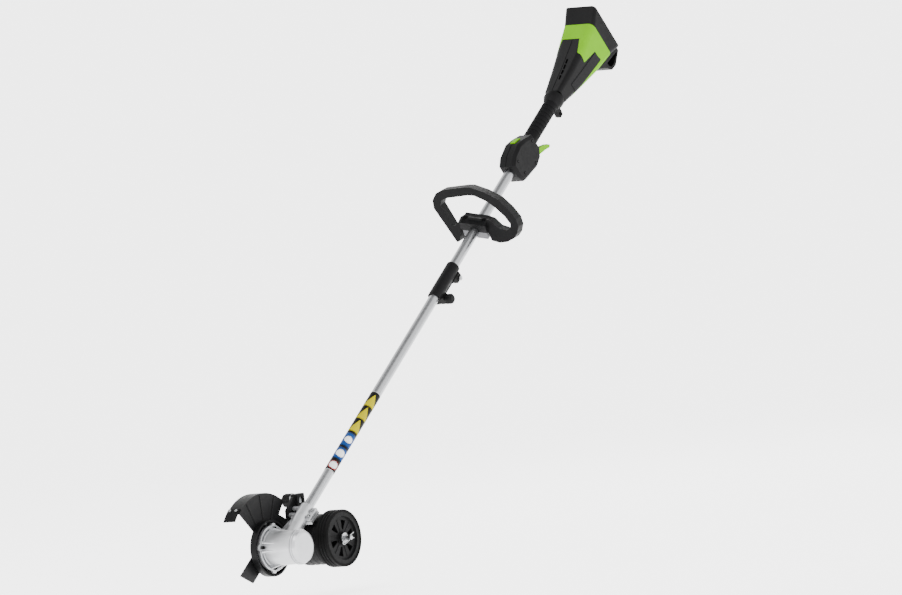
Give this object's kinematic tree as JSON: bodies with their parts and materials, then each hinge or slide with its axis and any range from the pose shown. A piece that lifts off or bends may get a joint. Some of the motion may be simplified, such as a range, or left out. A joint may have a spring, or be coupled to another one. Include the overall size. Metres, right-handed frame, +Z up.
{
  "type": "lawn edger",
  "caption": "Battery lawn edger: direct-drive motor head with guarded blade, depth wheels, two-piece shaft, loop handle and trigger grip.",
  "frame": {"origin": "middle of the rear grip, on the axis of the shaft", "axes": "+X to the wheel side (the operator's left), -Y the direction of travel, +Z up; the shaft rises 36 degrees towards +Y"},
  "size_m": [0.2146, 1.5532, 1.1637],
  "materials": {
    "aluminium_tube": "drawn tube, satin anodised",
    "label_film": "printed film with plain colour fields",
    "black_plastic": "fine moulded grain",
    "panel_plastic": "smooth moulded panel",
    "lime_plastic": "semi-gloss moulded",
    "grip_rubber": "textured soft grip",
    "cast_alloy": "shot-blasted die casting",
    "zinc_steel": "bright zinc plating",
    "black_steel": "satin black powder coat",
    "blade_steel": "ground hardened steel",
    "lamination": "varnished laminations with windings",
    "tread": "grooved rubber",
    "board": "coated circuit board",
    "cable": "jacketed lead",
    "spring_wire": "spring wire"
  },
  "bodies": {
    "rear_section": {"upper_tube": "aluminium_tube", "coupler_sleeve": "black_plastic", "coupler_bolt": "zinc_steel", "trigger_housing_left": "black_plastic", "trigger_housing_right": "black_plastic", "trigger_pin": "zinc_steel", "trigger_spring": "spring_wire", "trigger_switch": "black_plastic", "lockout_spring": "spring_wire", "rear_grip": "grip_rubber", "grip_collar": "black_plastic", "power_housing_left": "panel_plastic", "power_housing_right": "panel_plastic", "colour_band": "lime_plastic", "rear_frame": "black_plastic", "badge_plate": "panel_plastic", "terminal_block": "black_plastic", "control_board": "board", "latch_spring": "spring_wire", "housing_screws": "black_steel", "upper_harness": "cable"},
    "trigger_lever": {"trigger": "lime_plastic"},
    "lockout": {"lockout_button": "lime_plastic"},
    "latch": {"battery_latch": "black_plastic"},
    "coupler_grip": {"coupler_knob": "black_plastic"},
    "loop": {"handle_loop": "black_plastic", "handle_clamp": "cast_alloy", "handle_bolts": "black_steel"},
    "loop_grip": {"handle_knob": "black_plastic"},
    "lower_section": {"lower_tube": "aluminium_tube", "tube_label": "label_film", "motor_housing": "cast_alloy", "socket_bolts": "zinc_steel", "bearing_plate": "cast_alloy", "flange_screws": "black_steel", "stator": "lamination", "front_bearing": "zinc_steel", "rear_bearing": "zinc_steel", "hub_plate": "black_steel", "guard_shell": "black_steel", "guard_flap": "grip_rubber", "guard_bolts": "zinc_steel", "depth_bracket": "black_steel", "lower_harness": "cable"},
    "cutter": {"rotor": "lamination", "spindle": "zinc_steel", "inner_flange": "zinc_steel", "blade": "blade_steel", "outer_flange": "zinc_steel", "blade_nut": "zinc_steel"},
    "carriage": {"wheel_strut": "black_steel", "depth_bolt": "zinc_steel", "axle": "zinc_steel", "axle_washers": "zinc_steel", "hairpin": "spring_wire"},
    "depth_grip": {"depth_knob": "black_plastic"},
    "roller_body": {"roller": "black_plastic"},
    "wheel_body": {"outer_wheel": "black_plastic", "outer_tyre": "tread"}
  },
  "joints": [
    {"name": "shaft_pull", "type": "slide", "parent": "rear_section", "child": "lower_section", "axis": [0, -0.809, -0.5878], "range_m": [0, 0.05]},
    {"name": "coupler_knob_turn", "type": "hinge", "parent": "rear_section", "child": "coupler_grip", "pos_m": [0.024, -0.45416, -0.35655], "axis": [1, 0, 0], "range_deg": [0, 360]},
    {"name": "handle_slide", "type": "slide", "parent": "rear_section", "child": "loop", "axis": [0, 0.809, 0.5878], "range_m": [-0.06, 0.06]},
    {"name": "handle_knob_turn", "type": "hinge", "parent": "loop", "child": "loop_grip", "pos_m": [-0.02846, -0.27598, -0.219], "axis": [-0.2419, 0.5703, -0.785], "range_deg": [0, 360]},
    {"name": "trigger_pull", "type": "hinge", "parent": "rear_section", "child": "trigger_lever", "pos_m": [0, -0.05393, -0.07379], "axis": [1, 0, 0], "range_deg": [0, 14], "stiffness_Nm_per_rad": 0.4, "springref_deg": -14.32},
    {"name": "lockout_press", "type": "slide", "parent": "rear_section", "child": "lockout", "axis": [0, 0.5878, -0.809], "range_m": [0, 0.003], "stiffness_N_per_m": 600, "springref_m": -0.002},
    {"name": "latch_press", "type": "hinge", "parent": "rear_section", "child": "latch", "pos_m": [-0.0395, 0.23785, 0.17281], "axis": [0, 0.5878, -0.809], "range_deg": [0, 8], "stiffness_Nm_per_rad": 0.3, "springref_deg": -11.46},
    {"name": "rotor_spin", "type": "hinge", "parent": "lower_section", "child": "cutter", "pos_m": [0, -1.15932, -0.8423], "axis": [1, 0, 0], "continuous": true},
    {"name": "depth_slide", "type": "slide", "parent": "lower_section", "child": "carriage", "axis": [0, 0, -1], "range_m": [0, 0.025]},
    {"name": "depth_knob_turn", "type": "hinge", "parent": "carriage", "child": "depth_grip", "pos_m": [-0.055, -1.04532, -0.7453], "axis": [-1, 0, 0], "range_deg": [0, 360]},
    {"name": "roller_spin", "type": "hinge", "parent": "carriage", "child": "roller_body", "pos_m": [0.002, -1.02432, -0.8413], "axis": [1, 0, 0], "continuous": true},
    {"name": "wheel_spin", "type": "hinge", "parent": "carriage", "child": "wheel_body", "pos_m": [0.053, -1.02432, -0.8413], "axis": [1, 0, 0], "continuous": true}
  ]
}
